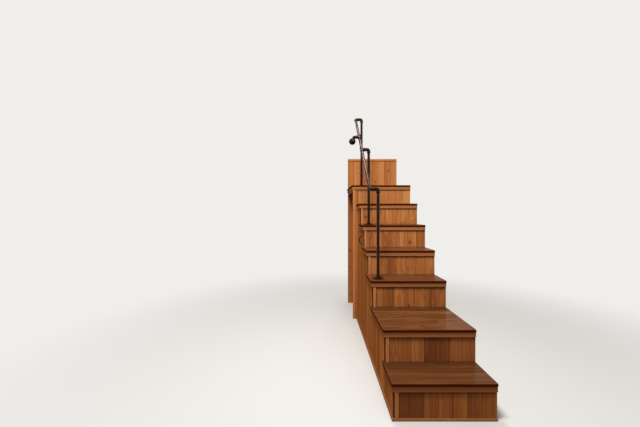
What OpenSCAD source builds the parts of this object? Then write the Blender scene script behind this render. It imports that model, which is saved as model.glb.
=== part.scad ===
// Boarded storage stair with an iron pipe handrail, a landing and an open bay
// under the landing. Millimetres, +Z up, +Y up the flight, +X towards the
// closed side.

/* [Flight] */
// Height from one step to the next
rise = 220; // [195:1:240]
// Depth from one nosing to the next
run = 250; // [230:1:290]
// Depth of the second step, which is a small platform
platform_run = 480; // [380:5:600]
// Width of the flight, from the closed side to the boarded open side
body_w = 608; // [560:1:720]

/* [Landing] */
// How far the landing stands out past the flight on the open side
jog = 51; // [40:1:90]
// Depth of the landing from its nosing to the back panel
landing_d = 640; // [560:5:760]
// Height of the back panel above the landing
back_h = 389; // [300:1:500]
// Thickness of the back panel
back_t = 20; // [18:1:30]
// Height of the rail under the open edge of the landing
header_h = 60; // [50:1:100]

/* [Treads] */
// Thickness of the treads and of the landing deck
tread_t = 19; // [18:1:32]
// Overhang of the treads past the risers and the boarded side
nosing = 14; // [12:0.5:30]
// Radius of the outer corner of a tread in plan
corner_r = 14; // [8:1:40]
// Radius along the front and side edges of a tread
edge_r = 5; // [2:0.5:8]
// Height of the trim under a tread
trim_h = 32; // [25:1:45]
// Thickness of the trim under a tread
trim_t = 9; // [6:0.5:11]

/* [Boards] */
// Nearest width of one vertical board
board_w = 84; // [60:1:120]
// Depth of the V joint between two boards
joint_v = 3; // [1.5:0.5:5]
// Thickness of a boarded riser
riser_t = 20; // [18:1:28]
// Thickness of the boarded side
side_t = 18; // [15:1:24]
// Thickness of the carcass panels
panel_t = 18; // [12:1:20]
// Width of the shadow joint between side and riser
shadow_w = 7; // [5:0.5:12]
// Width of the strip at the open end of a riser
strip_w = 22; // [18:1:40]
// How far that strip stands out from the boards
strip_t = 5; // [3:0.5:8]
// Radius of the rounded strip along the floor
shoe_r = 12; // [8:1:14]
// Thickness of the cap on the back panel
cap_t = 24; // [18:1:30]
// Overhang of the cap in front of the back panel
cap_over = 10; // [5:1:20]

/* [Cabinet door] */
// Height of the boards between the door opening and the lower tread above it
door_rail = 66; // [56:1:120]
// Height of the bottom of the door opening above the floor
door_bottom = 45; // [40:1:120]
// Width of the frame in front of the door
stile_front = 35; // [30:1:60]
// Width of the frame behind the door
stile_back = 45; // [40:1:60]
// Gap round the door
door_gap = 6; // [5:0.5:8]
// Thickness of the boards of the door
door_t = 18; // [16:1:22]
// Width of a batten on the inside of the door
batten_w = 70; // [50:1:110]
// Thickness of a batten
batten_t = 15; // [12:1:20]
// Distance of the battens from the top and bottom of the door
batten_in = 110; // [80:1:200]
// Distance of the battens from the sides of the door
batten_end = 32; // [28:1:60]

/* [Hinges] */
// Length of a hinge leaf in front of the pin
hinge_l = 64; // [50:1:90]
// Width of a hinge leaf
leaf_w = 12; // [10:0.5:14]
// Clearance between the two leaves of a hinge
leaf_gap = 0.6; // [0.4:0.1:0.9]
// Diameter of the hinge pin
pin_d = 5; // [4:0.1:6]
// Length of the pin in the door
pin_l = 12; // [8:1:20]
// Clearance round the hinge pin
pin_gap = 0.3; // [0.2:0.05:0.4]
// Distance of the pin from the back edge of the door
pin_in = 12; // [10:0.5:16]

/* [Door pull] */
// Distance between the two feet of the pull
pull_l = 88; // [76:1:110]
// How far the pull stands out from the door
pull_out = 31; // [24:0.5:36]
// Thickness of the bar of the pull
pull_t = 9; // [7:0.5:10]
// Diameter of the round feet
foot_d = 14; // [13:0.5:18]
// Thickness of the feet
foot_t = 3; // [2:0.5:4]
// Distance of the pull from the front edge of the door
pull_in = 62; // [50:1:110]
// Distance of the upper foot below the top of the door
pull_down = 24; // [20:1:120]

/* [Handrail pipe] */
// Outer diameter of the pipe
pipe_d = 26.7; // [24:0.1:34]
// Wall thickness of the pipe
pipe_wall = 2.9; // [2:0.1:4]
// Height of the posts, from the tread to the middle of the elbow
post_h = 762; // [650:1:1000]
// Distance of the posts from the open edge of the treads
post_in = 76; // [66:1:120]
// Distance of the posts behind the nosing
post_back = 90; // [70:1:140]
// How much further behind its nosing the post on the landing stands
post_more = 31; // [0:1:60]
// Distance from the posts to the rail, across the flight
rail_reach = 70; // [68:1:100]

/* [Pipe fittings] */
// Distance from the middle of a fitting to its end
fit_reach = 33; // [30:0.5:36]
// Depth of a fitting's socket
socket_l = 13; // [10:0.5:14]
// Wall thickness of a fitting
fit_wall = 3.2; // [2.5:0.1:5]
// Width of the bead round a fitting's end
bead_w = 7; // [5:0.5:10]
// Thickness of that bead
bead_t = 2.4; // [1.5:0.1:3.5]
// Radius of the bend in an elbow
bend_r = 18; // [17.5:0.1:20]
// Clearance between a pipe and its socket
socket_gap = 0.1; // [0.05:0.05:0.2]

/* [Flanges] */
// Diameter of a floor flange
flange_d = 90; // [80:1:110]
// Diameter of the flange on the rail's bracket
wall_flange_d = 76; // [70:1:90]
// Thickness of a flange
flange_t = 7; // [5:0.5:10]
// Height of a flange with its hub
hub_h = 19; // [17:1:26]
// Distance of the screw holes from the edge of a flange
screw_in = 11; // [9:0.5:13]
// Diameter of the screw holes
screw_d = 6.5; // [5:0.1:8]
// Length of the rail's bracket, along the flight
bracket_l = 208; // [140:1:260]

/* [Hidden] */
$fn = 48;
STEPS = 7;

// Wood and metal colours, for the preview
cedar = [0.76, 0.50, 0.30];
pale_cedar = [0.80, 0.58, 0.40];
stained = [0.36, 0.19, 0.10];
plywood = [0.80, 0.66, 0.46];
iron = [0.14, 0.12, 0.12];

// The steps with a handrail post
POST_STEPS = [3, 5, 7];
// The steps under which the cabinet lies
CABINET_STEPS = [5, 6];

// Places along the flight: the nosing, riser face and top of each step
length = (STEPS - 2) * run + platform_run + landing_d + back_t;
front_y = -length / 2;
function nose(i) = i == 1 ? front_y : front_y + (i - 1) * run + (i > 2 ? platform_run - run : 0);
function face(i) = nose(i) + nosing;
function behind(i) = face(i) + riser_t;
function top(i) = i * rise;
function under(i) = top(i) - tread_t;
back_y = nose(STEPS) + landing_d;

// Places across the flight, from the closed side outwards
bend_gap = 2;
street_reach = fit_reach + bend_r + bend_gap;
tread_w = body_w + nosing;
deck_w = tread_w + jog;
rail_w = tread_w - post_in + rail_reach;
wall_x = max(deck_w, rail_w + street_reach + wall_flange_d / 2) / 2;
side_x = wall_x - body_w;
land_x = side_x - jog;
inner_x = side_x + side_t;
wall_panel_x = wall_x - panel_t;
post_x = wall_x - tread_w + post_in;
rail_x = wall_x - rail_w;

// The cabinet and its door
cabinet_y0 = behind(CABINET_STEPS[0]);
cabinet_y1 = behind(STEPS) - panel_t;
door_top = under(CABINET_STEPS[0]) - door_rail;
open_y0 = cabinet_y0 + stile_front;
open_y1 = cabinet_y1 - stile_back;
door_w = open_y1 - open_y0 - 2 * door_gap;
door_h = door_top - door_bottom - 2 * door_gap;
hinge_y = open_y1 - door_gap - pin_in;
hinge_x = side_x + door_t / 2;
leaf_t = (door_gap - leaf_gap) / 2;
pull_y = open_y0 + door_gap + pull_in;
pull_z = door_top - door_gap - pull_down - pull_l / 2;
// The pull's middle line is part of a circle through its two feet
arch_h = pull_out - pull_t / 2;
arch_r = (pull_l * pull_l / 4 + arch_h * arch_h) / (2 * arch_h);
arch_a = asin(pull_l / 2 / arch_r);

// The handrail and its fittings
seat = fit_reach - socket_l;
body_d = pipe_d + 2 * fit_wall;
bead_d = body_d + 2 * bead_t;
bore_d = pipe_d - 2 * pipe_wall;
socket_d = pipe_d + 2 * socket_gap;
hub_floor = hub_h - socket_l;
slope = atan2((POST_STEPS[1] - POST_STEPS[0]) * rise, (POST_STEPS[1] - POST_STEPS[0]) * run);
function post_y(k) = nose(POST_STEPS[k]) + post_back + (k > 1 ? post_more : 0);
function elbow_z(k) = top(POST_STEPS[k]) + post_h + (k > 1 ? post_more * tan(slope) : 0);
flange_y = nose(STEPS);
bracket_y = flange_y - bracket_l;
bracket_z = elbow_z(1) + (bracket_y - post_y(1)) * tan(slope);
flange_x = rail_x - street_reach;

// A rectangle whose two left corners are round
module eased(w, t, r) {
  translate([r, 0]) square([w - r, t]);
  translate([0, r]) square([w, t - 2 * r]);
  translate([r, r]) circle(r);
  translate([r, t - r]) circle(r);
}

// A slab with a round outer corner in plan and round front and side edges
module slab(w, d, t) {
  intersection() {
    linear_extrude(t) {
      translate([corner_r, 0]) square([w - corner_r, d]);
      translate([0, corner_r]) square([w, d - corner_r]);
      translate([corner_r, corner_r]) circle(corner_r);
    }
    rotate([90, 0, 90]) linear_extrude(w) eased(d, t, edge_r);
    translate([0, d, 0]) rotate([90, 0, 0]) linear_extrude(d) eased(w, t, edge_r);
  }
}

// Vertical boards side by side, their face at y = 0, with V joints between
// them and, where ends is 1, half a joint at each end
module boards(w, h, t, ends = 0) {
  count = max(1, round(w / board_w));
  pitch = w / count;
  joints = [for (k = [1 - ends : 1 : count - 1 + ends]) each [
    [k * pitch - joint_v, 0], [k * pitch, joint_v], [k * pitch + joint_v, 0]
  ]];
  linear_extrude(h) intersection() {
    polygon(concat([[-pitch, 0]], joints, [[w + pitch, 0], [w + pitch, t], [-pitch, t]]));
    square([w, t]);
  }
}

// Boards that face the open side, from y0 to y1
module side_boards(y0, y1, h, t) {
  translate([side_x, y1, 0]) rotate([0, 0, -90]) boards(y1 - y0, h, t, 1);
}

module box(x0, x1, y0, y1, z0, z1) {
  translate([x0, y0, z0]) cube([x1 - x0, y1 - y0, z1 - z0]);
}

// The overhang at a tread's open end stops at this place
function side_end(i) = i < STEPS - 1 ? behind(i + 1) : i < STEPS ? face(i + 1) : back_y;

module tread(i) {
  color(stained) difference() {
    translate([wall_x - tread_w, nose(i), under(i)])
      slab(tread_w, behind(i + 1) - nose(i), tread_t);
    if (side_end(i) < behind(i + 1))
      box(wall_x - tread_w - 1, side_x, side_end(i), behind(i + 1) + 1, under(i) - 1, top(i) + 1);
  }
}

module landing_deck() {
  color(stained) translate([wall_x - deck_w, nose(STEPS), under(STEPS)])
    slab(deck_w, landing_d, tread_t);
}

// The trim under one tread, round its front and its open end
module nosing_trim(i, x) {
  y0 = face(i) - trim_t;
  y1 = side_end(i);
  translate([0, 0, under(i) - trim_h]) linear_extrude(trim_h) polygon([
    [x - trim_t, y0], [wall_x, y0], [wall_x, face(i)],
    [x, face(i)], [x, y1], [x - trim_t, y1]
  ]);
}

module nosing_trims() {
  color(pale_cedar) {
    for (i = [1 : STEPS - 1]) nosing_trim(i, side_x);
    nosing_trim(STEPS, land_x);
  }
}

module riser(i) {
  z0 = i == 1 ? 0 : top(i - 1);
  x0 = i == STEPS ? side_x : side_x + shadow_w;
  color(cedar) translate([x0, face(i), z0]) boards(wall_x - x0, under(i) - z0, riser_t);
}

// The strips at the open ends of the risers and on the bay stile
module corner_strips() {
  color(pale_cedar) {
    for (i = [1 : STEPS - 1]) {
      x0 = side_x + shadow_w;
      z0 = i == 1 ? shoe_r : top(i - 1);
      box(x0, x0 + strip_w, face(i) - strip_t, face(i), z0, under(i) - trim_h);
    }
    box(land_x, land_x + strip_w, face(STEPS) - strip_t, face(STEPS), 0, under(STEPS) - trim_h);
  }
}

module side_panel(i) {
  color(cedar) side_boards(behind(i), behind(i + 1), under(i), side_t);
}

// The stepped side of the cabinet, with the door opening
module cabinet_side() {
  first = CABINET_STEPS[0];
  second = CABINET_STEPS[1];
  color(cedar) difference() {
    side_boards(cabinet_y0, cabinet_y1, under(second), side_t);
    box(side_x - 1, inner_x + 1, cabinet_y0 - 1, behind(second), under(first), under(second) + 1);
    box(side_x - 1, inner_x + 1, open_y0, open_y1, door_bottom, door_top);
  }
}

// Under the door, and upside down over it
module at_hinges() {
  translate([hinge_x, hinge_y, door_bottom]) children();
  translate([hinge_x, hinge_y, door_top]) rotate([0, 180, 0]) children();
}

module cabinet_door() {
  y0 = open_y0 + door_gap;
  y1 = open_y1 - door_gap;
  z0 = door_bottom + door_gap;
  back_x = side_x + door_t;
  color(cedar) {
    difference() {
      translate([0, 0, z0]) side_boards(y0, y1, door_h, door_t);
      at_hinges() cylinder(d = pin_d + 2 * pin_gap, h = door_gap + pin_l + 1);
    }
    for (z = [z0 + batten_in, z0 + door_h - batten_in - batten_w])
      box(back_x, back_x + batten_t, y0 + batten_end, y1 - batten_end, z, z + batten_w);
  }
}

// A flat leaf, round at the pin
module hinge_leaf() {
  linear_extrude(leaf_t) {
    circle(d = leaf_w);
    translate([-leaf_w / 2, -hinge_l]) square([leaf_w, hinge_l]);
  }
}

// The fixed leaves of the pivot hinges, with the pins that the door turns on
module hinge_frame_leaves() {
  color(iron) at_hinges() {
    hinge_leaf();
    cylinder(d = pin_d, h = door_gap + pin_l);
  }
}

module hinge_door_leaves() {
  color(iron) at_hinges() translate([0, 0, leaf_t + leaf_gap]) difference() {
    hinge_leaf();
    translate([0, 0, -1]) cylinder(d = pin_d + 2 * pin_gap, h = leaf_t + 2);
  }
}

// A round bar bent to an arch, cut off at the face of the door, on two feet
module door_pull() {
  inside_a = 8;
  color(iron) translate([side_x, pull_y, pull_z]) {
    intersection() {
      translate([arch_r - arch_h, 0, 0]) rotate([90, 0, 0]) rotate([0, 0, 180 - arch_a - inside_a])
        rotate_extrude(angle = 2 * (arch_a + inside_a)) translate([arch_r, 0]) circle(d = pull_t);
      translate([-2 * pull_out, -pull_t, -pull_l]) cube([2 * pull_out, 2 * pull_t, 2 * pull_l]);
    }
    for (z = [-pull_l / 2, pull_l / 2])
      translate([0, 0, z]) rotate([0, -90, 0]) cylinder(d = foot_d, h = foot_t);
  }
}

module base_panel() {
  color(plywood) box(inner_x, wall_panel_x, behind(1), cabinet_y1, 0, panel_t);
}

// The stepped panel on the closed side, which carries the treads
module wall_panel() {
  steps = [for (i = [1 : STEPS]) each [[behind(i), i == 1 ? 0 : under(i - 1)], [behind(i), under(i)]]];
  color(plywood) translate([wall_panel_x, 0, 0]) rotate([90, 0, 90])
    linear_extrude(panel_t) polygon(concat(steps, [[back_y, under(STEPS)], [back_y, 0]]));
}

// The upright panel under the back edge of a tread
module partition(i) {
  box(inner_x, wall_panel_x, behind(i + 1) - panel_t, behind(i + 1), panel_t, under(i));
}

module partitions() {
  color(plywood) for (i = [1 : CABINET_STEPS[0] - 2]) partition(i);
}

module cabinet_partition() {
  color(plywood) partition(CABINET_STEPS[0] - 1);
}

module bay_front_panel() {
  color(plywood)
    box(side_x, wall_panel_x, behind(STEPS) - panel_t, behind(STEPS), 0, under(STEPS - 1));
}

module bay_stile() {
  color(cedar) box(land_x, side_x, face(STEPS), behind(STEPS), 0, under(STEPS));
}

module bay_header() {
  color(cedar) box(land_x, land_x + side_t, behind(STEPS), back_y, under(STEPS) - header_h, under(STEPS));
}

module back_panel() {
  color(cedar) translate([land_x, back_y, 0]) boards(wall_x - land_x, top(STEPS) + back_h, back_t);
}

module back_cap() {
  z0 = top(STEPS) + back_h;
  color(pale_cedar) box(land_x, wall_x, back_y - cap_over, back_y + back_t, z0, z0 + cap_t);
}

module quarter(len) {
  linear_extrude(len) intersection() {
    circle(shoe_r);
    square(shoe_r);
  }
}

// The rounded strip along the floor, mitred at the front corner
module base_shoe() {
  side_l = face(STEPS) - face(1) + shoe_r;
  front_l = wall_x - side_x + shoe_r;
  color(pale_cedar) translate([side_x, face(1), 0]) {
    intersection() {
      translate([0, side_l - shoe_r, 0]) rotate([90, 0, 0]) mirror([1, 0, 0]) quarter(side_l);
      linear_extrude(shoe_r)
        polygon([[0, 0], [-shoe_r, -shoe_r], [-shoe_r, side_l], [0, side_l]]);
    }
    intersection() {
      translate([-shoe_r, 0, 0]) rotate([0, 90, 0]) rotate([0, 0, 180]) quarter(front_l);
      linear_extrude(shoe_r)
        polygon([[0, 0], [-shoe_r, -shoe_r], [front_l, -shoe_r], [front_l, 0]]);
    }
  }
}

module pipe(len) {
  difference() {
    cylinder(d = pipe_d, h = len);
    translate([0, 0, -1]) cylinder(d = bore_d, h = len + 2);
  }
}

// One straight leg of a fitting along +Z, from z0 to its end
module leg(z0) {
  translate([0, 0, z0]) cylinder(d = body_d, h = fit_reach - z0);
  translate([0, 0, fit_reach - bead_w]) cylinder(d = bead_d, h = bead_w);
}

module leg_bore(z0) {
  translate([0, 0, z0]) cylinder(d = bore_d, h = fit_reach - z0);
  translate([0, 0, seat]) cylinder(d = socket_d, h = socket_l + 1);
}

// A quarter bend in the XZ plane, from +X round to +Z
module bend(d) {
  translate([bend_r, 0, bend_r]) rotate([90, 0, 0]) rotate([0, 0, 180])
    rotate_extrude(angle = 90) translate([bend_r, 0]) circle(d = d);
}

// An elbow with one end along +X and one along +Z
module elbow() {
  color(iron) difference() {
    union() {
      bend(body_d);
      leg(bend_r);
      rotate([0, 90, 0]) leg(bend_r);
    }
    bend(bore_d);
    leg_bore(bend_r);
    rotate([0, 90, 0]) leg_bore(bend_r);
  }
}

// A tee with its run along Z and its branch along +X
module tee() {
  color(iron) difference() {
    union() {
      leg(0);
      mirror([0, 0, 1]) leg(0);
      rotate([0, 90, 0]) leg(0);
    }
    leg_bore(0);
    mirror([0, 0, 1]) leg_bore(0);
    rotate([0, 90, 0]) leg_bore(0);
  }
}

// A round flange on z = 0 with a hub for a pipe and four screw holes
module flange(d) {
  color(iron) difference() {
    union() {
      cylinder(d = d, h = flange_t);
      cylinder(d = bead_d, h = hub_h);
    }
    translate([0, 0, -1]) cylinder(d = bore_d, h = hub_h + 2);
    translate([0, 0, hub_floor]) cylinder(d = socket_d, h = socket_l + 1);
    for (a = [45 : 90 : 315])
      rotate([0, 0, a]) translate([d / 2 - screw_in, 0, -1]) cylinder(d = screw_d, h = flange_t + 2);
  }
}

module floor_flanges() {
  for (k = [0 : 2]) translate([post_x, post_y(k), top(POST_STEPS[k])]) flange(flange_d);
}

module post(k) {
  color(iron) translate([post_x, post_y(k), top(POST_STEPS[k]) + hub_floor])
    pipe(elbow_z(k) - top(POST_STEPS[k]) - hub_floor - seat);
}

module post_elbows() {
  for (k = [0 : 2]) translate([post_x, post_y(k), elbow_z(k)]) rotate([0, 180, 0]) elbow();
}

module nipples() {
  color(iron) for (k = [0 : 2])
    translate([rail_x + seat, post_y(k), elbow_z(k)]) rotate([0, 90, 0])
      pipe(rail_reach - 2 * seat);
}

// The rail's own direction is +Z turned back about X
module along_rail(y, z) {
  translate([rail_x, y, z]) rotate([slope - 90, 0, 0]) children();
}

module rail_elbows() {
  along_rail(post_y(0), elbow_z(0)) elbow();
  along_rail(post_y(2), elbow_z(2)) rotate([180, 0, 0]) elbow();
}

module rail_tee() {
  along_rail(post_y(1), elbow_z(1)) tee();
}

module bracket_tee() {
  along_rail(bracket_y, bracket_z) rotate([0, 0, 180]) tee();
}

// A length of rail between two fittings, from y0 to y1 along the flight
module rail(y0, y1) {
  z0 = elbow_z(0) + (y0 - post_y(0)) * tan(slope);
  color(iron) along_rail(y0, z0) translate([0, 0, seat])
    pipe((y1 - y0) / cos(slope) - 2 * seat);
}

module rail_lower() {
  rail(post_y(0), post_y(1));
}

module rail_middle() {
  rail(post_y(1), bracket_y);
}

module rail_upper() {
  rail(bracket_y, post_y(2));
}

// An elbow whose end along +X is a spigot that fits the tee
module bracket_elbow() {
  color(iron) translate([flange_x, bracket_y, bracket_z]) rotate([-90, 0, 0]) difference() {
    union() {
      bend(body_d);
      leg(bend_r);
      translate([bend_r, 0, 0]) rotate([0, 90, 0])
        cylinder(d = pipe_d, h = street_reach - seat - bend_r);
    }
    bend(bore_d);
    leg_bore(bend_r);
    rotate([0, 90, 0]) translate([0, 0, bend_r]) cylinder(d = bore_d, h = street_reach);
  }
}

module bracket_pipe() {
  color(iron) translate([flange_x, bracket_y + seat, bracket_z]) rotate([-90, 0, 0])
    pipe(bracket_l - seat - hub_floor);
}

module bracket_flange() {
  translate([flange_x, flange_y, bracket_z]) rotate([90, 0, 0]) flange(wall_flange_d);
}

tread(1);  // tread_1
tread(2);  // tread_2
tread(3);  // tread_3
tread(4);  // tread_4
tread(5);  // tread_5
tread(6);  // tread_6
landing_deck();
nosing_trims();
riser(1);  // riser_1
riser(2);  // riser_2
riser(3);  // riser_3
riser(4);  // riser_4
riser(5);  // riser_5
riser(6);  // riser_6
riser(7);  // riser_7
corner_strips();
side_panel(1);  // side_panel_1
side_panel(2);  // side_panel_2
side_panel(3);  // side_panel_3
side_panel(4);  // side_panel_4
cabinet_side();
cabinet_door();
hinge_frame_leaves();
hinge_door_leaves();
door_pull();
base_panel();
wall_panel();
partitions();
cabinet_partition();
bay_front_panel();
bay_stile();
bay_header();
back_panel();
back_cap();
base_shoe();
floor_flanges();
post(0);  // post_1
post(1);  // post_2
post(2);  // post_3
post_elbows();
nipples();
rail_elbows();
rail_tee();
rail_lower();
rail_middle();
rail_upper();
bracket_tee();
bracket_elbow();
bracket_pipe();
bracket_flange();
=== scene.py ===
"""The looks of a boarded storage stair with an iron pipe handrail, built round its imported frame.

Lengths are metres, in the frame's own axes: +X from the open side to the closed one, +Y up the flight, +Z up.
"""

import math

import bmesh
import bpy
import numpy as np
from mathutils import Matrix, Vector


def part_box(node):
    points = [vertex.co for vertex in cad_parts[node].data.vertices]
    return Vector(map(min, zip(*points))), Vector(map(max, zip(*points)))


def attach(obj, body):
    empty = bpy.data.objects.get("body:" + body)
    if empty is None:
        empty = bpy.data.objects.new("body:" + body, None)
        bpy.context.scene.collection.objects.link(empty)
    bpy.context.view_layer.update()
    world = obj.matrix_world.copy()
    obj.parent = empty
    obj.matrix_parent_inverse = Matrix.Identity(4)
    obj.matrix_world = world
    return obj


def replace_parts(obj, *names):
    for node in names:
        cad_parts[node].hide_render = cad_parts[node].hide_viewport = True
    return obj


bl_info = {
    "name": "Storage Stair Finishes",
    "version": (1, 0, 0),
    "blender": (4, 5, 0),
    "location": "View3D > Sidebar > Stair",
    "description": "Boards, stained treads, iron pipe, fasteners and stage of a storage stair",
    "category": "Object",
}

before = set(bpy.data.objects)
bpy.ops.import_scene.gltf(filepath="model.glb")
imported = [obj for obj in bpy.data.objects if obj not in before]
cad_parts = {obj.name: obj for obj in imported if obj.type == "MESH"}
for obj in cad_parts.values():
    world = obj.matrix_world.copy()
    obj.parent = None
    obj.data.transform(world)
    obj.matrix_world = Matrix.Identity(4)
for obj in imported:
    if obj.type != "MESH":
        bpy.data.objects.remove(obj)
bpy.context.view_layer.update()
X, Y, Z = 0, 1, 2

# The lowest and the highest corner and the middle of every piece of the frame
LOW = {name: np.array(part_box(name)[0]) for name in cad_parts}
HIGH = {name: np.array(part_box(name)[1]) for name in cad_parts}
MIDDLE = {name: (LOW[name] + HIGH[name]) / 2 for name in LOW}

# Places along and across the flight
RISE = HIGH["tread_1"][Z]
FRONT_Y = LOW["tread_1"][Y]
RUN = LOW["tread_4"][Y] - LOW["tread_3"][Y]
PLATFORM_RUN = LOW["tread_3"][Y] - LOW["tread_2"][Y]
NOSING = LOW["riser_1"][Y] - FRONT_Y
SIDE_X = LOW["side_panel_1"][X]
LANDING_X = LOW["bay_stile"][X]
CLOSED_X = HIGH["tread_1"][X]
TRIM_T = LANDING_X - LOW["nosing_trims"][X]
TRIM_H = LOW["tread_1"][Z] - LOW["nosing_trims"][Z]
PIPE_R = (HIGH["post_1"][X] - LOW["post_1"][X]) / 2

# Sizes in the frame that the boxes don't give
FLANGE_T = 0.007
HOLE_IN = 0.011  # From a flange's rim to the middle of its screw holes
PIPE_WALL = 0.0029
FITTING_REACH = 0.033  # From the middle of a fitting to its mouth
SOCKET_L = 0.013
DOOR_T = 0.018
PULL_FEET = 0.088  # Between the middles of the pull's feet
NOTCH_W = 0.007  # From the open side's face to the corner strips
STRIP_W = 0.022
BATTEN_W = 0.07
BATTEN_IN = 0.11  # From the ends of the door to its battens

RISERS = [f"riser_{i}" for i in range(1, 8)]
TREADS = [f"tread_{i}" for i in range(1, 7)] + ["landing_deck"]
SIDES = [f"side_panel_{i}" for i in range(1, 5)] + ["cabinet_side"]
POSTS = ["post_1", "post_2", "post_3"]
RAILS = ["rail_lower", "rail_middle", "rail_upper"]

# A board width that makes any piece one board
ONE_BOARD = 10.0
# A point counts as on a face when it is nearer to it than this
ON_FACE = 0.0002
# Painted shade: the wood under this tread is darker, the more so the lower it is
FIRST_UNSHADED_TREAD = 4
# How deep the grain is in the sawn boards, the planed trims and panels and the sanded treads
SAWN, PLANED, SANDED = 0.00035, 0.0003, 0.00025
# What the oil on the iron reflects head on, brown partly as its own sheen and partly as painted reflection of
# brown surroundings, and what its brown patches multiply the iron's colour by
OIL_TINT, PATCH_TINT = (1.0, 0.45, 0.3), (1.9, 1.35, 1.1)

# Features per metre across the grain and along it: uneven knots, bent rings, streaks, fibres and clouds
LUMPS, BENDS, STREAKS, FIBRES, CLOUDS = (90, 90), (7, 1.25), (60, 1.1), (480, 9), (11, 0.7)
# Brown patches per metre of iron
PATCHES = 22

# Where the lamps stand, and what they are turned to
KEY_PLACE, KEY_AIM = (-1.0, -1.9, 4.4), (0, 0, 0.9)
TOP_PLACE, TOP_AIM = (-0.3, 0.9, 4.6), (-0.2, 0, 1.5)


def paint(red, green, blue):
    """A colour of 0 to 255 a channel, as a screen shows it, made linear."""
    shares = [channel / 255 for channel in (red, green, blue)]
    return tuple(s / 12.92 if s < 0.04045 else ((s + 0.055) / 1.055) ** 2.4 for s in shares)


def colour_property(name, description, screen_colour):
    linear = paint(*screen_colour)
    return bpy.props.FloatVectorProperty(
        name=name, description=description, subtype="COLOR", size=3, min=0, max=1, default=linear
    )


def length_property(name, description, metres):
    return bpy.props.FloatProperty(name=name, description=description, unit="LENGTH", min=0, default=metres)


class BoardSettings(bpy.types.PropertyGroup):
    """The boards, trims and panels, and the wood that they share with the treads."""

    dark: colour_property("Dark board", "Tone of the darkest boards", (128, 73, 37))
    middle: colour_property("Middle board", "Tone of most boards", (164, 98, 50))
    light: colour_property("Light board", "Tone of the light boards", (190, 122, 66))
    pale: colour_property("Pale board", "Tone of the palest boards", (208, 142, 84))
    knot: colour_property("Knot", "Colour of the middle of a knot", (92, 50, 27))
    late_wood: colour_property("Late wood", "What late wood multiplies a board's tone by", (184, 126, 86))
    round_knot: colour_property("Round a knot", "What the wood round a knot multiplies its tone by",
                                (190, 130, 92))
    trim: colour_property("Trim", "Colour of the trims under the treads", (174, 113, 69))
    plywood: colour_property("Plywood", "Colour of the carcass panels", (206, 172, 122))
    width: length_property("Board width", "Nearest width of one board", 0.084)
    ring_gap: length_property("Ring spacing", "Distance between two growth rings", 0.0042)
    knot_gap: length_property("Knot spacing", "Length of board that may hold one knot", 0.34)
    knot_radius: length_property("Knot radius", "Radius of the largest knots", 0.0085)
    joint: length_property("Joint", "Half the width of the dark line between two boards", 0.003)
    ply: length_property("Ply", "Thickness of one layer of the plywood", 0.0026)


class TreadSettings(bpy.types.PropertyGroup):
    """The stained treads and the landing deck."""

    top: colour_property("Top", "Stain on the walked faces", (106, 65, 36))
    edge: colour_property("Edge", "Stain on the edges and undersides", (76, 25, 6))
    strip: length_property("Strip", "Width of the strips that a tread is glued up from", 0.092)


class IronSettings(bpy.types.PropertyGroup):
    """The pipe, its fittings and the hardware."""

    pipe: colour_property("Pipe", "Colour of the oiled pipe", (34, 17, 10))
    casting: colour_property("Casting", "Colour of the cast fittings", (28, 17, 12))
    thread_pitch: length_property("Thread pitch", "Distance between two turns of a pipe thread", 0.0018)
    thread_depth: length_property("Thread depth", "Depth of a pipe thread", 0.0009)
    thread_length: length_property("Thread length", "Length of thread that shows outside a fitting", 0.007)
    screw_head: length_property("Screw head", "Diameter of the screw heads in a flange", 0.0105)
    screw_rise: length_property("Screw height", "Height of the screw heads in a flange", 0.0032)
    pull_head: length_property("Pull screw", "Diameter of the heads of the pull's screws", 0.00806)
    pull_rise: length_property("Pull screw height", "Height of the heads of the pull's screws", 0.0022)
    pull_cross: length_property("Pull screw cross", "Depth of the cross in the pull's screws", 0.0012)


class StageSettings(bpy.types.PropertyGroup):
    """The camera, lamps and floor."""

    eye: bpy.props.FloatVectorProperty(
        name="Eye", description="Where the camera stands", subtype="XYZ", unit="LENGTH", size=3,
        default=(CLOSED_X - 1.04, FRONT_Y - 1.777, 1.2135),
    )
    focal: bpy.props.FloatProperty(
        name="Focal length", description="Focal length of the camera, in millimetres", default=17.16
    )
    floor: colour_property("Floor", "Colour of the floor", (203, 201, 197))
    bounce: colour_property("Bounce", "Colour of the floor for the light that it throws back", (128, 108, 88))
    backdrop: colour_property("Backdrop", "Colour behind the object", (240, 238, 235))
    world: bpy.props.FloatProperty(name="World", description="Strength of the light all round", default=0.4)
    key: bpy.props.FloatProperty(name="Key", description="Power of the main lamp in watts", default=195)
    top: bpy.props.FloatProperty(name="Top", description="Power of the lamp overhead in watts", default=74)


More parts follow.
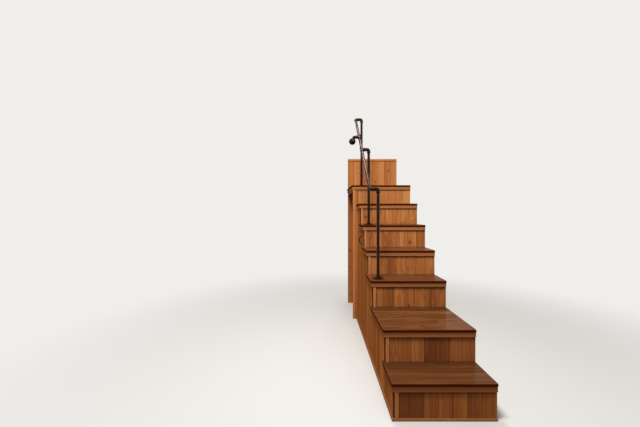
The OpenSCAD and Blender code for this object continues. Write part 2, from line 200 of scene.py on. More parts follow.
class Wire:
    """One output of a material's tree. Python arithmetic on it adds Math nodes."""

    def __init__(self, graph, socket):
        self.graph = graph
        self.socket = socket

    def math(self, operation, *terms):
        return self.graph.add("ShaderNodeMath", {"operation": operation}, dict(enumerate(terms)))

    def __add__(self, other):
        return self.math("ADD", self, other)

    def __sub__(self, other):
        return self.math("SUBTRACT", self, other)

    def __rsub__(self, other):
        return self.math("SUBTRACT", other, self)

    def __mul__(self, other):
        return self.math("MULTIPLY", self, other)

    def __truediv__(self, other):
        return self.math("DIVIDE", self, other)

    def __pow__(self, other):
        return self.math("POWER", self, other)

    def __gt__(self, other):
        return self.math("GREATER_THAN", self, other)

    def __lt__(self, other):
        return self.math("LESS_THAN", self, other)

    __radd__ = __add__
    __rmul__ = __mul__

    def floor(self):
        return self.math("FLOOR", self)

    def fract(self):
        return self.math("FRACT", self)

    def size(self):
        return self.math("ABSOLUTE", self)

    def root(self):
        return self.math("SQRT", self)

    def least(self, other):
        return self.math("MINIMUM", self, other)

    def most(self, other):
        return self.math("MAXIMUM", self, other)

    def choose(self, yes, no):
        """The first where this is 1 and the second where it is 0."""
        return self * yes + (1 - self) * no

    def between(self, start, end):
        """Start where this is 0, end where it is 1 and in step between them."""
        return self * (end - start) + start

    def bell(self):
        """e to the power of minus the square."""
        return self.math("EXPONENT", 0 - self * self)


class Graph:
    """The node tree of one material or world."""

    def __init__(self, tree):
        self.tree = tree
        tree.nodes.clear()

    def add(self, kind, settings=None, inputs=None, output=0):
        """Adds a node: its settings first, then the value or the link of each socket, named or numbered."""
        node = self.tree.nodes.new(kind)
        for key, value in (settings or {}).items():
            if key == "stops":
                self.set_stops(node.color_ramp.elements, value)
            else:
                setattr(node, key, value)
        for key, value in (inputs or {}).items():
            if isinstance(value, Wire):
                self.tree.links.new(value.socket, node.inputs[key])
            else:
                node.inputs[key].default_value = value
        return Wire(self, node.outputs[output]) if node.outputs else None

    def set_stops(self, elements, stops):
        while len(elements) < len(stops):
            elements.new(1)
        for element, (place, colour) in zip(elements, stops):
            element.position = place
            element.color = (*colour, 1)

    def split(self, wire, kind="ShaderNodeSeparateXYZ"):
        first = self.add(kind, None, {0: wire})
        return [Wire(self, socket) for socket in first.socket.node.outputs]

    def place(self):
        return self.split(self.add("ShaderNodeTexCoord", output="Object"))

    def point(self, x, y, z):
        return self.add("ShaderNodeCombineXYZ", None, {0: x, 1: y, 2: z})

    def random(self, x, y, z):
        """Three numbers from 0 to 1 that are the same wherever x, y and z are."""
        colour = self.add("ShaderNodeTexWhiteNoise", None, {"Vector": self.point(x, y, z)}, "Color")
        return self.split(colour, "ShaderNodeSeparateColor")

    def noise(self, x, y, z, detail=2.0, roughness=0.5):
        """Smooth noise of about 0.5, with features a unit apart."""
        inputs = {"Vector": self.point(x, y, z), "Scale": 1.0, "Detail": detail, "Roughness": roughness}
        return self.add("ShaderNodeTexNoise", None, inputs)

    def ease(self, wire, start, end):
        """0 before start, 1 after end and a smooth step between them."""
        inputs = {"Value": wire, "From Min": start, "From Max": end}
        return self.add("ShaderNodeMapRange", {"interpolation_type": "SMOOTHSTEP"}, inputs)

    def mix(self, share, first, second, blend="MIX"):
        colours = [(*c, 1) if isinstance(c, tuple) else c for c in (first, second)]
        inputs = {0: share, 6: colours[0], 7: colours[1]}
        return self.add("ShaderNodeMix", {"data_type": "RGBA", "blend_type": blend}, inputs, 2)

    def shade(self, colour, strength):
        """The colour made darker: strength is 0 for no change and 1 for black."""
        return self.mix(strength, colour, (0.0, 0.0, 0.0))

    def tint(self, colour, strength, factor):
        """The colour, multiplied by another one as far as the strength goes."""
        return self.mix(strength, colour, self.mix(1.0, colour, tuple(factor), "MULTIPLY"))

    def ramp(self, wire, stops):
        return self.add("ShaderNodeValToRGB", {"stops": stops}, {0: wire})

    def looked_at(self):
        """1 where the camera looks, straight, in a reflection or through something, and 0 for other light."""
        camera, mirrored, through = [self.add("ShaderNodeLightPath", output=kind)
                                     for kind in ("Is Camera Ray", "Is Glossy Ray", "Is Transmission Ray")]
        return camera.most(mirrored).most(through)

    def surface(self, colour, roughness, height, bump, metallic=0.0, specular=0.5, tint=(1, 1, 1), coat=0.0,
                coat_roughness=0.1):
        """Ends the tree in one shader. The height is a share of the bump's depth in metres."""
        normal = self.add("ShaderNodeBump", None, {"Strength": 1.0, "Distance": bump, "Height": height})
        shader = self.add("ShaderNodeBsdfPrincipled", None, {
            "Base Color": colour, "Roughness": roughness, "Normal": normal, "Metallic": metallic,
            "Specular IOR Level": specular, "Specular Tint": (*tint, 1), "Coat Weight": coat,
            "Coat Roughness": coat_roughness,
        })
        self.add("ShaderNodeOutputMaterial", None, {"Surface": shader})


def new_material(name):
    material = bpy.data.materials.new(name)
    material.use_nodes = True
    return material, Graph(material.node_tree)


def dress(node, material):
    """Gives a piece of the frame its material."""
    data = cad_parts[node].data
    data.materials.clear()
    data.materials.append(material)


class Boards:
    """Where a point lies in a row of boards: across, into and along its board, and which board it is.

    Boards of one width fill the piece's box along the axis across. The place over the width, rounded down, is
    the board's number, and the rest times the width is the distance from the board's edge. The boards of each
    lane have a pattern of their own. The lane is the seed, plus, on a stepped piece, the number of the tread
    under the point: the height over the rise, and a hundredth so that a riser's foot counts, rounded down.
    Lift makes the wood lighter, or darker below 0; it is only set as painted shade on the lower steps.
    """

    def __init__(self, graph, node, across, into, along, width, seed=0, stepped=False):
        place = graph.place()
        span = HIGH[node][across] - LOW[node][across]
        self.width = span / max(1, round(span / width))
        position = (place[across] - float(LOW[node][across])) / self.width
        self.board = position.floor()
        self.across = (position - self.board) * self.width
        self.into = place[into] - float(LOW[node][into])
        self.along = place[along]
        self.edge = self.across.least(self.width - self.across)
        self.lane = (place[Z] / RISE + 0.01).floor() + seed if stepped else seed
        self.lift = 0.0

    def paint_shade_on_low_steps(self, tread, share):
        """Paints shade on the lower steps: takes a share from the lift for each tread under the first
        unshaded one.
        """
        self.lift = (tread - FIRST_UNSHADED_TREAD).least(0) * share


def timber(graph, boards, tones, knots=0.3, late=0.48, streaks=0.7):
    """The colour and the height of sawn boards, and the streaks in them.

    The growth rings are circles round a pith behind the board, at a random place for each board. The distance
    to the pith, bent by slow noise along the board and by the knots, over the ring spacing gives a saw-tooth,
    and its cube is the dark late wood. A knot lies at a random place in that share of the board's stretches
    that knots gives, and bends the rings round itself by a bell curve of the distance to its middle.

    The lightness that picks a colour from the tones is the board's own random one, plus broad clouds, plus
    fine streaks, plus the lift, which is painted shade on the lower steps. Late wood, fibres and the wood
    round a knot then darken it. Late and streaks say how strong late wood and streaks are. The noises start
    at a random place for each board.
    """
    settings = bpy.context.scene.stair_boards
    tone, pith, depth = graph.random(boards.board, boards.lane, 3.1)
    shift = graph.random(boards.board, boards.lane, 7.7)[0]
    across, into, along = boards.across, boards.into, boards.along
    start = shift * 40

    stretch = along / settings.knot_gap + shift * 9
    cell = stretch.floor()
    where, height, kind = graph.random(boards.board + cell * 0.37, boards.lane, cell)
    knot_x = across - where.between(0.15, 0.85) * boards.width
    knot_z = (stretch - cell - height.between(0.25, 0.75)) * settings.knot_gap
    lumpy = graph.noise(across * LUMPS[0], into * LUMPS[0], along * LUMPS[1] + start, 1.0)
    knot_r = (knot_x * knot_x + knot_z * knot_z * 0.55).root() * lumpy.between(0.75, 1.25)
    knot_size = (kind - (1 - knots)).most(0) * (settings.knot_radius / knots) + 0.0001
    reach = knot_r / knot_size
    core = 1 - graph.ease(reach, 0.75, 1.1)
    round_knot = (reach * 0.42).bell() * (kind > 1 - knots)

    slow = graph.noise(across * BENDS[0] + start, into * BENDS[0], along * BENDS[1] + start, 2.0) - 0.5
    pith_x = across - pith.between(-0.6, 1.6) * boards.width
    pith_y = into + depth.between(0.012, 0.072)
    radius = (pith_x * pith_x + pith_y * pith_y).root() + slow * 0.05 + round_knot * 0.006
    ring = (radius / settings.ring_gap).fract()
    late_wood = ring ** 3 * (1 - core)
    streak = graph.noise(across * STREAKS[0] + start, into * STREAKS[0], along * STREAKS[1] + start,
                         3.0, 0.62)
    fibre = graph.noise(across * FIBRES[0], into * FIBRES[0] + start, along * FIBRES[1], 2.0, 0.6)
    cloud = graph.noise(across * CLOUDS[0], into * CLOUDS[0] + start, along * CLOUDS[1] + start, 1.0)

    lightness = tone.between(0.3, 0.7) + (cloud - 0.5) * 0.7 + (streak - 0.5) * streaks + boards.lift
    colour = graph.ramp(lightness, tones)
    colour = graph.tint(colour, late_wood * late, settings.late_wood)
    colour = graph.shade(colour, (fibre - 0.5).most(0) * 0.55)
    colour = graph.tint(colour, round_knot * 0.5, settings.round_knot)
    knot_ring = (reach * 4 + lumpy).fract() * 0.35
    colour = graph.mix(core, colour, graph.shade(tuple(settings.knot), knot_ring))
    relief = 0.5 + (fibre - 0.5) * 0.9 - late_wood * 0.25 + core * 0.2
    return colour, relief, streak


def board_tones(shift=0.0):
    """The tones of the boards from dark to pale, moved along by a share."""
    settings = bpy.context.scene.stair_boards
    tones = (settings.dark, settings.middle, settings.light, settings.pale)
    places = (0.0, 0.34, 0.72, 1.0)
    return [(min(1, max(0, place + shift)), tuple(tone)) for place, tone in zip(places, tones)]


def boarded_finish(name, node, across, into, shift, gloss=1.0, seed=0, stepped=False, corners=()):
    """Varnished upright boards with a dark joint between them.

    Stepped boards are the risers': they differ from step to step, are darker on the lower steps as painted
    shade, and have a riser's painted shade. Corners are the places along the flight where a riser's open end
    meets the piece, whose front end in the notch gets a dark line of painted shade. Gloss is how much of the
    varnish's shine shows.
    """
    settings = bpy.context.scene.stair_boards
    material, graph = new_material(name)
    boards = Boards(graph, node, across, into, Z, settings.width, seed, stepped)
    # Painted shade: the boards of the lower steps are darker
    if stepped:
        boards.paint_shade_on_low_steps(boards.lane, 0.1)
    colour, relief, streak = timber(graph, boards, board_tones(shift))
    joint = 1 - graph.ease(boards.edge, settings.joint * 0.3, settings.joint * 1.1)
    colour = graph.shade(colour, joint * (0.16 if stepped else 0.3))
    if stepped:
        colour = riser_painted_shades(graph, boards, colour)
    for corner in corners:
        # Painted shade: the piece's front end in the notch at each corner is darkened
        x, y, z = graph.place()
        notch = ((y - corner).size() < 0.0006) * (x < SIDE_X + NOTCH_W + ON_FACE)
        colour = graph.shade(colour, notch * 0.88)
    graph.surface(colour, streak.between(0.5, 0.7), relief, SAWN, specular=0.06 * gloss, coat=0.08 * gloss,
                  coat_roughness=0.32)
    return material


def riser_painted_shades(graph, boards, colour):
    """Dark lines at a riser's foot, under the trim and beside the corner strip, and a dark open end.

    Each line is a smooth step of the distance from where it starts. All of them are painted shade: at the
    foot in the corner on the tread, the trim's shadow right under it, in the crease beside the corner strip
    and on the riser's end in the notch. A soft painted shadow under the trim comes on top.
    The top riser has no corner strip, so it has no line beside one.
    """
    above = (boards.along / RISE).fract() * RISE
    below = float(LOW["nosing_trims"][Z]) - above
    # Painted shade at the foot, and the trim's painted shadow right under it and softer below
    foot = 1 - graph.ease(above, 0.001, 0.009)
    under = 1 - graph.ease(below, 0.009, 0.02)
    soft = 1 - graph.ease(below, 0.01, 0.045)
    # Painted shade in the crease beside the corner strip and on the riser's end in the notch
    past_strip = graph.place()[X] - (SIDE_X + NOTCH_W + STRIP_W)
    beside = (1 - graph.ease(past_strip, 0.0025, 0.006)) * (boards.lane < len(RISERS) - 1)
    notch_end_shade = past_strip < ON_FACE - STRIP_W
    lines = (foot * 0.4).most(under * 0.5).most(beside * 0.55).most(notch_end_shade * 0.85)
    return graph.shade(graph.shade(colour, lines), soft * 0.16)


def single_finish(name, node, across, into, along, tones, seed, knots=0.1):
    """One board of clear wood, varnished."""
    material, graph = new_material(name)
    boards = Boards(graph, node, across, into, along, ONE_BOARD, seed)
    colour, relief, streak = timber(graph, boards, tones, knots, late=0.3, streaks=0.35)
    graph.surface(colour, streak.between(0.48, 0.66), relief, PLANED, specular=0.02)
    return material


def trim_tones(share=1.0):
    """The tones of the trim, round a share of its own colour."""
    trim = np.array(bpy.context.scene.stair_boards.trim) * share
    return [(0.0, tuple(trim * 0.72)), (0.5, tuple(trim)), (1.0, tuple(np.minimum(trim * 1.2, 1)))]


class BOARD_OT_risers(bpy.types.Operator):
    """Finishes the boarded risers, each with its own run of boards."""

    bl_idname = "stair.finish_risers"
    bl_label = "Finish Risers"

    def execute(self, context):
        flight = boarded_finish("riser_boards", "riser_1", X, Y, shift=-0.12, stepped=True)
        for node in RISERS[:-1]:
            dress(node, flight)
        top = boarded_finish("top_riser_boards", RISERS[-1], X, Y, shift=-0.26, stepped=True)
        dress(RISERS[-1], top)
        return {"FINISHED"}


class BOARD_OT_sides(bpy.types.Operator):
    """Finishes the boarded open side, the door and the back panel."""

    bl_idname = "stair.finish_sides"
    bl_label = "Finish Sides"

    def execute(self, context):
        for seed, node in enumerate(SIDES, 20):
            corners = [float(LOW[node][Y])]
            if node == "cabinet_side":
                corners.append(corners[0] + RUN)
            # Painted shade: the open side's boards are toned darker than the risers, for the shade on that
            # side
            dress(node, boarded_finish(f"{node}_boards", node, Y, X, shift=0.02, gloss=0.0, seed=seed,
                                       corners=corners))
        dress("cabinet_door", self.door_material())
        dress("back_panel", boarded_finish("back_boards", "back_panel", X, Y, shift=-0.16, seed=30))
        dress("bay_stile", single_finish("stile_board", "bay_stile", X, Y, Z, board_tones(0.12), seed=41))
        dress("bay_header", single_finish("header_board", "bay_header", Z, X, Y, board_tones(0.05), seed=42))
        return {"FINISHED"}

    def door_material(self):
        """Upright boards, and battens behind them whose grain runs across the door.

        A batten's width is counted from its edge nearer the middle of the door, so both share one formula.
        Their numbers, 8 and 9, come after those of all the boards.
        """
        node = "cabinet_door"
        material, graph = new_material("door_boards")
        boards = Boards(graph, node, Y, X, Z, bpy.context.scene.stair_boards.width, seed=26)
        x, y, z = graph.place()
        middle = float(MIDDLE[node][Z])
        inner_edge = float(HIGH[node][Z]) - middle - BATTEN_IN - BATTEN_W
        batten = boards.into > DOOR_T + ON_FACE
        joint = 1 - graph.ease(boards.edge, 0.001, 0.0033)
        boards.across = batten.choose((z - middle).size() - inner_edge, boards.across)
        boards.along = batten.choose(y, z)
        boards.board = batten.choose((z > middle) + 8, boards.board)
        # Painted shade: toned darker than the risers, like the rest of the open side
        colour, relief, streak = timber(graph, boards, board_tones(0.02))
        colour = graph.shade(colour, joint * (1 - batten) * 0.3)
        graph.surface(colour, streak.between(0.5, 0.7), relief, SAWN, specular=0.0)
        return material


class BOARD_OT_trims(bpy.types.Operator):
    """Finishes the trims under the treads, with a mitre at the open corner, and the strips, cap and shoe."""

    bl_idname = "stair.finish_trims"
    bl_label = "Finish Trims"

    def execute(self, context):
        strip, cap, shoe = "corner_strips", "back_cap", "base_shoe"
        dress("nosing_trims", self.trim_material())
        dress(strip, single_finish("strip_wood", strip, X, Y, Z, trim_tones(1.4), seed=51, knots=0.05))
        dress(cap, single_finish("cap_wood", cap, Z, Y, X, trim_tones(1.25), seed=52, knots=0.05))
        dress(shoe, single_finish("shoe_wood", shoe, X, Z, Y, trim_tones(0.55), seed=53, knots=0.02))
        return {"FINISHED"}

    def trim_material(self):
        """The grain runs along X in front and along Y at the open end, and a thin dark line is the mitre.

        The step's number is the height over the rise, rounded. The corner lies at the trim's outer edges, and
        a point is in front of the mitre where it is further along X from the corner than along Y.
        """
        material, graph = new_material("trim_wood")
        x, y, z = graph.place()
        step = (z / RISE + 0.5).floor()
        after_platform = (step > 2.5) * (PLATFORM_RUN - RUN)
        corner_y = FRONT_Y + NOSING - TRIM_T + (step - 1) * RUN + after_platform
        at_landing = step > len(TREADS) - 0.5
        corner_x = SIDE_X - TRIM_T - at_landing * (SIDE_X - LANDING_X)
        inward, behind = x - corner_x, y - corner_y
        lead = inward - behind
        front = lead > 0
        boards = Boards(graph, "nosing_trims", Z, Y, X, ONE_BOARD)
        boards.across = (z / RISE).fract() * RISE
        boards.into = front.choose(behind, inward)
        boards.along = front.choose(x, y)
        boards.board = step
        boards.lane = front
        boards.width = TRIM_H
        # Painted shade: the trims of the lower steps are darker
        boards.paint_shade_on_low_steps(step, 0.22)
        colour, relief, streak = timber(graph, boards, trim_tones(), knots=0.06, late=0.3, streaks=0.35)
        mitre = 1 - graph.ease(lead.size(), 0.0004, 0.0012)
        colour = graph.shade(colour, mitre * 0.6)
        graph.surface(colour, streak.between(0.48, 0.66), relief, PLANED, specular=0.0)
        return material


class TREAD_OT_finish(bpy.types.Operator):
    """Stains the treads: brown on the walked faces and nearly black on the edges."""

    bl_idname = "stair.finish_treads"
    bl_label = "Finish Treads"

    def execute(self, context):
        material = self.stained(context.scene.stair_treads)
        for node in TREADS:
            dress(node, material)
        return {"FINISHED"}

    def stained(self, settings):
        """Strips glued up side by side, with a thin seam between them.

        The step's number is the height over the rise, rounded. The place along the flight over a strip's
        width, shifted a little from step to step and rounded down, is the strip's number.
        """
        material, graph = new_material("stained_tread")
        x, y, z = graph.place()
        step = (z / RISE + 0.5).floor()
        boards = Boards(graph, "tread_1", Y, Z, X, ONE_BOARD)
        position = y / settings.strip + step * 0.37
        boards.board = position.floor()
        boards.across = (position - boards.board) * settings.strip
        boards.width = settings.strip
        boards.lane = step + 60
        # Painted shade: the treads of the lower steps are darker
        boards.paint_shade_on_low_steps(step, 0.1)
        top, edge = np.array(settings.top), np.array(settings.edge)
        tones = [(0.0, tuple(top * 0.6)), (0.5, tuple(top)), (1.0, tuple(top * 1.45))]
        colour, relief, streak = timber(graph, boards, tones, knots=0.16, late=0.8, streaks=1.9)
        seam = 1 - graph.ease(boards.across.least(settings.strip - boards.across), 0.0002, 0.001)
        colour = graph.shade(colour, seam * 0.45)
        side = graph.ease(step * RISE - z, 0.0003, 0.0026)
        colour = graph.mix(side, colour, graph.mix(streak, tuple(edge * 0.7), tuple(edge * 1.3)))
        roughness = streak.between(0.3, 0.44) + side * 0.3
        graph.surface(colour, roughness, relief, SANDED, specular=0.0, coat=side.between(0.2, 0),
                      coat_roughness=0.14)
        return material


class PANEL_OT_plywood(bpy.types.Operator):
    """Finishes the carcass panels: clear faces, and the layers of plywood on their edges."""

    bl_idname = "stair.finish_plywood"
    bl_label = "Finish Plywood"

    def execute(self, context):
        panels = {"base_panel": (X, Z, Y), "wall_panel": (Y, X, Z), "partitions": (X, Y, Z),
                  "cabinet_partition": (X, Y, Z), "bay_front_panel": (X, Y, Z)}
        for seed, (node, axes) in enumerate(panels.items(), 70):
            dress(node, self.plywood(node, axes, seed))
        return {"FINISHED"}

    def plywood(self, node, axes, seed):
        """One sheet, whose edge shows its layers.

        The layer's number is the depth over a layer's thickness, rounded down. The odd layers, whose grain
        ends at the edge, are darker, but the face isn't.
        """
        settings = bpy.context.scene.stair_boards
        material, graph = new_material(f"{node}_plywood")
        boards = Boards(graph, node, *axes, width=0.3, seed=seed)
        boards.board = 0
        odd = (boards.into / settings.ply / 2).fract() > 0.5
        face = np.array(settings.plywood)
        tones = [(0.0, tuple(face * 0.8)), (1.0, tuple(np.minimum(face * 1.15, 1)))]
        colour, relief, streak = timber(graph, boards, tones, knots=0.02, late=0.25, streaks=0.5)
        inside = graph.ease(boards.into, 0.0005, 0.0012)
        colour = graph.shade(colour, odd * inside * 0.3)
        graph.surface(colour, streak.between(0.5, 0.7), relief, PLANED, specular=0.3)
        return material


def iron_material(name, colour, roughness, lumps, depth, patchy=0.12):
    """Oiled iron: brown in patches a few centimetres wide, with a skin of so many lumps per metre.

    Patchy is how much rougher the brown patches are.
    """
    material, graph = new_material(name)
    x, y, z = graph.place()
    patch = graph.noise(x * PATCHES, y * PATCHES, z * PATCHES, 3.0, 0.6)
    skin = graph.noise(x * lumps, y * lumps, z * lumps, 3.0, 0.6)
    brown = tuple(np.array(colour) * PATCH_TINT)
    tone = graph.mix(graph.ease(patch, 0.45, 0.75), tuple(colour), brown)
    # The reflection's brown tint is partly the oil's own sheen and partly painted reflection of brown
    # surroundings
    graph.surface(tone, roughness + (patch - 0.5) * patchy, skin, depth, metallic=0.2, specular=0.26,
                  tint=OIL_TINT)
    return material


class IRON_OT_castings(bpy.types.Operator):
    """Finishes the fittings, flanges, hinges and pull as cast or forged iron."""

    bl_idname = "stair.finish_castings"
    bl_label = "Finish Castings"

    def execute(self, context):
        settings = context.scene.stair_iron
        cast = iron_material("cast_fitting", settings.casting, roughness=0.42, lumps=600, depth=0.00015)
        forged = iron_material("forged_iron", settings.casting, roughness=0.42, lumps=260, depth=0.0002)
        for node in ("floor_flanges", "post_elbows", "rail_elbows", "rail_tee", "bracket_tee",
                     "bracket_elbow", "bracket_flange"):
            dress(node, cast)
        for node in ("hinge_frame_leaves", "hinge_door_leaves", "door_pull"):
            dress(node, forged)
        return {"FINISHED"}


def axes_along(direction):
    """Two unit vectors at right angles to a direction and to each other, and the direction, as rows."""
    along = np.array(direction, float) / np.linalg.norm(direction)
    helper = np.eye(3)[np.argmin(np.abs(along))]
    side = np.cross(along, helper)
    side /= np.linalg.norm(side)
    return np.stack([side, np.cross(along, side), along])


def turned(radius, height, columns, centre, direction):
    """A surface of revolution: radius and height, rows by columns or rows alone, turned round a direction.

    A point is the radius times the cosine and sine of the angle on the two cross axes, plus the height along
    the direction.
    """
    angle = np.linspace(0, 2 * np.pi, columns, endpoint=False)
    radius = np.atleast_2d(radius.T).T * np.ones(columns)
    height = np.atleast_2d(height.T).T * np.ones(columns)
    local = np.stack([radius * np.cos(angle), radius * np.sin(angle), height], axis=-1)
    return local @ axes_along(direction) + np.array(centre)


def grid_faces(rows, columns):
    """The quads of a grid whose last column joins the first, facing out when the rows climb."""
    row, column = np.meshgrid(np.arange(rows - 1), np.arange(columns), indexing="ij")
    after = (column + 1) % columns
    corners = [row * columns + column, row * columns + after, (row + 1) * columns + after,
               (row + 1) * columns + column]
    return np.stack(corners, axis=-1).reshape(-1, 4)


def build(name, grids, material, body, sharp=35.0):
    """Joins grids of points into one piece on a body, merges seams and poles, and shades it smooth."""
    vertices = np.concatenate([grid.reshape(-1, 3) for grid in grids])
    starts = np.cumsum([0] + [grid.shape[0] * grid.shape[1] for grid in grids[:-1]])
    faces = np.concatenate([grid_faces(*grid.shape[:2]) + start for grid, start in zip(grids, starts)])
    mesh = bpy.data.meshes.new(name)
    mesh.from_pydata(vertices.tolist(), [], faces.tolist())
    work = bmesh.new()
    work.from_mesh(mesh)
    bmesh.ops.remove_doubles(work, verts=work.verts, dist=1e-7)
    work.to_mesh(mesh)
    work.free()
    mesh.polygons.foreach_set("use_smooth", np.ones(len(mesh.polygons), bool))
    mesh.set_sharp_from_angle(angle=math.radians(sharp))
    mesh.materials.append(material)
    piece = bpy.data.objects.new(name, mesh)
    bpy.context.scene.collection.objects.link(piece)
    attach(piece, body)
    return piece


def screw_head(centre, direction, radius, rise, recess):
    """A domed head with a cross recess.

    The outline goes from the middle of the underside round the rim and up a quarter circle to the top. Over
    the top it is lowered where a point is near one of the two cross lines and within the cross's reach.
    """
    climb = np.linspace(0, np.pi / 2, 14)
    rim = rise * 0.3
    outline_r = np.concatenate([[0, radius], radius * np.cos(climb)])
    outline_z = np.concatenate([[0, 0], rim + (rise - rim) * np.sin(climb)])
    columns = 32
    angle = np.linspace(0, 2 * np.pi, columns, endpoint=False)
    across = np.abs(outline_r[:, None] * np.cos(angle))
    along = np.abs(outline_r[:, None] * np.sin(angle))
    arm, slope, cross_reach, end_slope = radius * np.array([0.22, 0.12, 0.66, 0.14])
    near = np.clip((arm - np.minimum(across, along)) / slope, 0, 1)
    within = np.clip((cross_reach - np.maximum(across, along)) / end_slope, 0, 1)
    cross = near * within * (outline_z > 0)[:, None]
    return turned(outline_r, outline_z[:, None] - recess * cross, columns, centre, direction)


def ring_of_screws(centre, direction, reach, settings):
    """Four heads round a middle, a quarter turn apart."""
    side, other, along = axes_along(direction)
    radius, rise = settings.screw_head / 2, settings.screw_rise
    angles = np.radians([45, 135, 225, 315])
    places = [np.array(centre) + reach * (math.cos(a) * side + math.sin(a) * other) for a in angles]
    return [screw_head(place, along, radius, rise, rise / 2) for place in places]


class IRON_OT_screws(bpy.types.Operator):
    """Adds the screws of the flanges and the pull."""

    bl_idname = "stair.add_screws"
    bl_label = "Add Screws"

    def execute(self, context):
        settings = context.scene.stair_iron
        material = iron_material("black_screw", settings.pipe, roughness=0.36, lumps=900, depth=0.0001)
        flange_r = (HIGH["floor_flanges"][X] - LOW["floor_flanges"][X]) / 2
        heads = []
        for tread, post in zip((3, 5, 7), POSTS):
            seat = (*MIDDLE[post][:2], tread * RISE + FLANGE_T)
            heads += ring_of_screws(seat, (0, 0, 1), flange_r - HOLE_IN, settings)
        bracket = "bracket_flange"
        bracket_r = (HIGH[bracket][X] - LOW[bracket][X]) / 2
        seat = (MIDDLE[bracket][X], HIGH[bracket][Y] - FLANGE_T, MIDDLE[bracket][Z])
        heads += ring_of_screws(seat, (0, -1, 0), bracket_r - HOLE_IN, settings)
        build("flange_screws", heads, material, "stair")

        inside = LOW["cabinet_door"][X] + DOOR_T
        feet = [MIDDLE["door_pull"][Z] + half for half in (-PULL_FEET / 2, PULL_FEET / 2)]
        heads = [screw_head((inside, MIDDLE["door_pull"][Y], foot), (1, 0, 0), settings.pull_head / 2,
                            settings.pull_rise, settings.pull_cross) for foot in feet]
        build("pull_screws", heads, material, "door")
        return {"FINISHED"}


class IRON_OT_pipes(bpy.types.Operator):
    """Makes the posts, nipples and rails as threaded pipe."""

    bl_idname = "stair.make_pipes"
    bl_label = "Make Pipes"

    def execute(self, context):
        settings = context.scene.stair_iron
        material = iron_material("oiled_pipe", settings.pipe, roughness=0.3, lumps=300, depth=0.00001,
                                 patchy=0.03)
        for node, (start, end) in self.runs().items():
            pipe = self.pipe(start, end, settings)
            piece = build(f"{node}_pipe", [pipe], material, "stair", 50)
            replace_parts(piece, node)
        nipples = []
        for post in POSTS:
            height = HIGH[post][Z] + FITTING_REACH - SOCKET_L
            start, end = [np.array([box["nipples"][X], MIDDLE[post][Y], height]) for box in (LOW, HIGH)]
            nipples.append(self.pipe(start, end, settings))
        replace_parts(build("threaded_nipples", nipples, material, "stair", 50), "nipples")
        return {"FINISHED"}

    def runs(self):
        """Each pipe's two ends. A rail's middle line is its box shortened by what the round end adds."""
        runs = {}
        for post in POSTS:
            x, y = MIDDLE[post][:2]
            runs[post] = (x, y, LOW[post][Z]), (x, y, HIGH[post][Z])
        slope = math.atan2(RISE, RUN)
        lift, lean = PIPE_R * math.cos(slope), PIPE_R * math.sin(slope)
        for rail in RAILS:
            x = MIDDLE[rail][X]
            foot = (x, LOW[rail][Y] + lean, LOW[rail][Z] + lift)
            runs[rail] = foot, (x, HIGH[rail][Y] - lean, HIGH[rail][Z] - lift)
        bracket = "bracket_pipe"
        x, z = MIDDLE[bracket][X], MIDDLE[bracket][Z]
        runs[bracket] = (x, LOW[bracket][Y], z), (x, HIGH[bracket][Y], z)
        return {node: (np.array(start), np.array(end)) for node, (start, end) in runs.items()}

    def pipe(self, start, end, settings):
        """A pipe with a thread cut into each end.

        The radius is the pipe's, less the thread's depth times a triangle wave of the distance from the end
        over the pitch and the angle over a full turn. The wave fades out after the length of the thread. Six
        rows make one pitch.
        """
        length = np.linalg.norm(end - start)
        cut = min(SOCKET_L + settings.thread_length, length / 2)
        rows = np.linspace(0, cut, int(cut / settings.thread_pitch * 6))
        height = np.concatenate([rows, length - rows[::-1]])
        columns = 40
        angle = np.linspace(0, 1, columns, endpoint=False)
        phase = height[:, None] / settings.thread_pitch + angle
        wave = np.abs((phase % 1) - 0.5) * 2
        from_end = np.minimum(height, length - height)[:, None]
        fade = np.clip((cut - from_end) / (settings.thread_pitch * 1.5), 0, 1)
        outside = PIPE_R - settings.thread_depth * wave * fade
        bore = np.full((1, columns), PIPE_R - PIPE_WALL)
        radius = np.concatenate([bore, outside, bore, bore])
        height = np.concatenate([[0], height, [length, 0]])
        return turned(radius, height[:, None], columns, start, end - start)


def area_lamp(name, power, size, place, target):
    """A square lamp at a place, turned to face the target."""
    data = bpy.data.lights.new(name, "AREA")
    data.energy = power
    data.size = size
    lamp = bpy.data.objects.new(name, data)
    bpy.context.scene.collection.objects.link(lamp)
    rows = axes_along(np.array(place) - np.array(target))
    matrix = np.eye(4)
    matrix[:3, :3] = rows.T
    matrix[:3, 3] = place
    lamp.matrix_world = matrix.T.tolist()


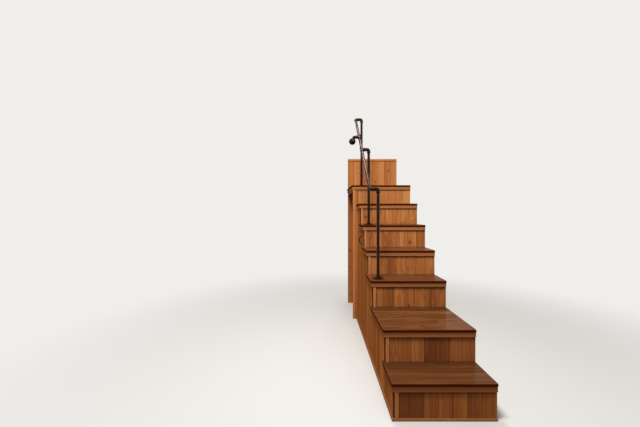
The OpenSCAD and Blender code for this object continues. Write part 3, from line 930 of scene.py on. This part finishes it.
class STAGE_OT_make(bpy.types.Operator):
    """Makes the camera, the lamps, the pale floor and the backdrop."""

    bl_idname = "stair.make_stage"
    bl_label = "Make Stage"

    def execute(self, context):
        settings = context.scene.stair_stage
        self.camera(context, settings)
        self.world(context, settings)
        self.floor(settings)
        area_lamp("key_lamp", settings.key, size=1.0, place=KEY_PLACE, target=KEY_AIM)
        area_lamp("top_lamp", settings.top, size=0.8, place=TOP_PLACE, target=TOP_AIM)
        context.scene.view_settings.view_transform = "Standard"
        return {"FINISHED"}

    def camera(self, context, settings):
        data = bpy.data.cameras.new("camera")
        data.lens = settings.focal
        camera = bpy.data.objects.new("camera", data)
        context.scene.collection.objects.link(camera)
        camera.location = settings.eye
        camera.rotation_euler = (math.radians(90), 0, 0)
        context.scene.camera = camera

    def world(self, context, settings):
        """Plain light all round, and the backdrop's colour where it is looked at."""
        world = bpy.data.worlds.new("world")
        world.use_nodes = True
        context.scene.world = world
        graph = Graph(world.node_tree)
        warm_white = (1, 0.98, 0.95, 1)
        light = graph.add("ShaderNodeBackground", None, {"Color": warm_white, "Strength": settings.world})
        seen = graph.add("ShaderNodeBackground", None, {"Color": (*settings.backdrop, 1), "Strength": 1.0})
        mixed = graph.add("ShaderNodeMixShader", None, {0: graph.looked_at(), 1: light, 2: seen})
        graph.add("ShaderNodeOutputWorld", None, {"Surface": mixed})

    def floor(self, settings):
        """A large square that takes the shadow, and fades to the backdrop's colour away from the stair.

        It is pale wherever it is looked at, and the light that it throws back on the stair has a colour of
        its own, which is darker. It lies just under the stair.
        """
        half, level = 30.0, -0.0005
        corners = [(-half, -half, level), (half, -half, level), (half, half, level), (-half, half, level)]
        mesh = bpy.data.meshes.new("floor")
        mesh.from_pydata(corners, [], [(0, 1, 2, 3)])
        floor = bpy.data.objects.new("floor", mesh)
        bpy.context.scene.collection.objects.link(floor)
        material, graph = new_material("pale_floor")
        x, y, z = graph.place()
        fade_start, fade_end = 1.0, 3.6
        far = graph.ease((x * x + y * y).root(), fade_start, fade_end)
        looked_at = graph.looked_at()
        tone = graph.mix(looked_at, tuple(settings.bounce), tuple(settings.floor))
        matt = graph.add("ShaderNodeBsdfDiffuse", None, {"Color": tone})
        glow = graph.add("ShaderNodeEmission", None, {"Color": (*settings.backdrop, 1), "Strength": 1.0})
        mixed = graph.add("ShaderNodeMixShader", None, {0: far * looked_at, 1: matt, 2: glow})
        graph.add("ShaderNodeOutputMaterial", None, {"Surface": mixed})
        mesh.materials.append(material)


STEPS = [BOARD_OT_risers, BOARD_OT_sides, BOARD_OT_trims, TREAD_OT_finish, PANEL_OT_plywood,
         IRON_OT_castings, IRON_OT_screws, IRON_OT_pipes, STAGE_OT_make]
SETTINGS = {"stair_boards": BoardSettings, "stair_treads": TreadSettings, "stair_iron": IronSettings,
            "stair_stage": StageSettings}


class STAIR_PT_panel(bpy.types.Panel):
    """Lists the settings and the steps in the sidebar."""

    bl_idname = "STAIR_PT_panel"
    bl_label = "Storage Stair"
    bl_space_type = "VIEW_3D"
    bl_region_type = "UI"
    bl_category = "Stair"

    def draw(self, context):
        for name, group in SETTINGS.items():
            box = self.layout.box()
            for setting in group.__annotations__:
                box.prop(getattr(context.scene, name), setting)
        for step in STEPS:
            self.layout.operator(step.bl_idname)


def register():
    for group in (*SETTINGS.values(), *STEPS, STAIR_PT_panel):
        bpy.utils.register_class(group)
    for name, group in SETTINGS.items():
        setattr(bpy.types.Scene, name, bpy.props.PointerProperty(type=group))


def unregister():
    for name in SETTINGS:
        delattr(bpy.types.Scene, name)
    for group in (STAIR_PT_panel, *reversed(STEPS), *SETTINGS.values()):
        bpy.utils.unregister_class(group)


def main():
    """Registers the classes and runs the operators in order."""
    register()
    for step in STEPS:
        folder, name = step.bl_idname.split(".")
        getattr(getattr(bpy.ops, folder), name)()


if __name__ == "__main__":
    main()
